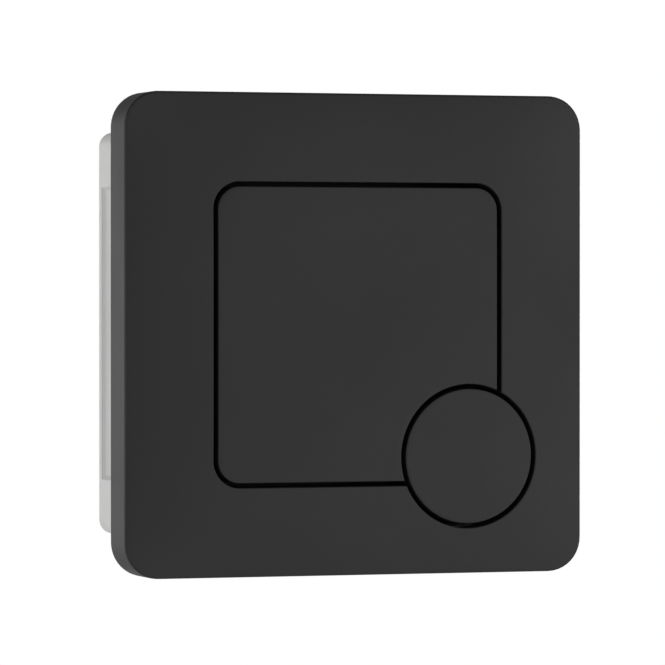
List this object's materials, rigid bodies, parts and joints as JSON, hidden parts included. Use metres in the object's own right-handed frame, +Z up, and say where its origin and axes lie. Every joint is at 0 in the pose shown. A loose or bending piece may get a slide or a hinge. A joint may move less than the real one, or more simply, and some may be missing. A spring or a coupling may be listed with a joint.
{
  "type": "flush button plate",
  "caption": "Square satin black wall plate with a large square flush button and a round one set in its corner, on a pale box that holds an air bellows and hose nipple for each.",
  "frame": {"origin": "middle of the plate, on the plane of the wall that the plate's rim lies against", "axes": "+X to the right seen from the front, +Y into the wall, +Z up"},
  "size_m": [0.086, 0.0521, 0.086],
  "materials": {
    "black_abs": "satin moulded",
    "natural_pp": "moulded",
    "black_acetal": "moulded",
    "white_acetal": "moulded",
    "epdm_rubber": "matte",
    "foam_seal": "closed-cell foam",
    "zinc_steel": "zinc plated",
    "spring_steel": "drawn"
  },
  "bodies": {
    "wall_unit": {"face_plate": "black_abs", "housing": "natural_pp", "button_carrier": "black_acetal", "carrier_screws": "zinc_steel", "flange_gasket": "foam_seal", "full_bellows": "epdm_rubber", "half_bellows": "epdm_rubber", "full_hose_nipple": "white_acetal", "half_hose_nipple": "white_acetal", "full_nipple_nut": "white_acetal", "half_nipple_nut": "white_acetal", "half_spring": "spring_steel", "full_spring_upper_left": "spring_steel", "full_spring_upper_right": "spring_steel", "full_spring_lower_left": "spring_steel"},
    "full_button": {"full_flush_button": "black_abs", "full_post_clips": "spring_steel"},
    "half_button": {"half_flush_button": "black_abs", "half_plunger_clip": "spring_steel"}
  },
  "joints": [
    {"name": "full_flush_press", "type": "slide", "parent": "wall_unit", "child": "full_button", "axis": [0, 1, 0], "range_m": [0, 0.0055], "stiffness_N_per_m": 700, "springref_m": -0.006, "deforming": ["full_bellows", "full_spring_upper_left", "full_spring_upper_right", "full_spring_lower_left"]},
    {"name": "half_flush_press", "type": "slide", "parent": "wall_unit", "child": "half_button", "axis": [0, 1, 0], "range_m": [0, 0.0055], "stiffness_N_per_m": 500, "springref_m": -0.006, "deforming": ["half_bellows", "half_spring"]}
  ]
}
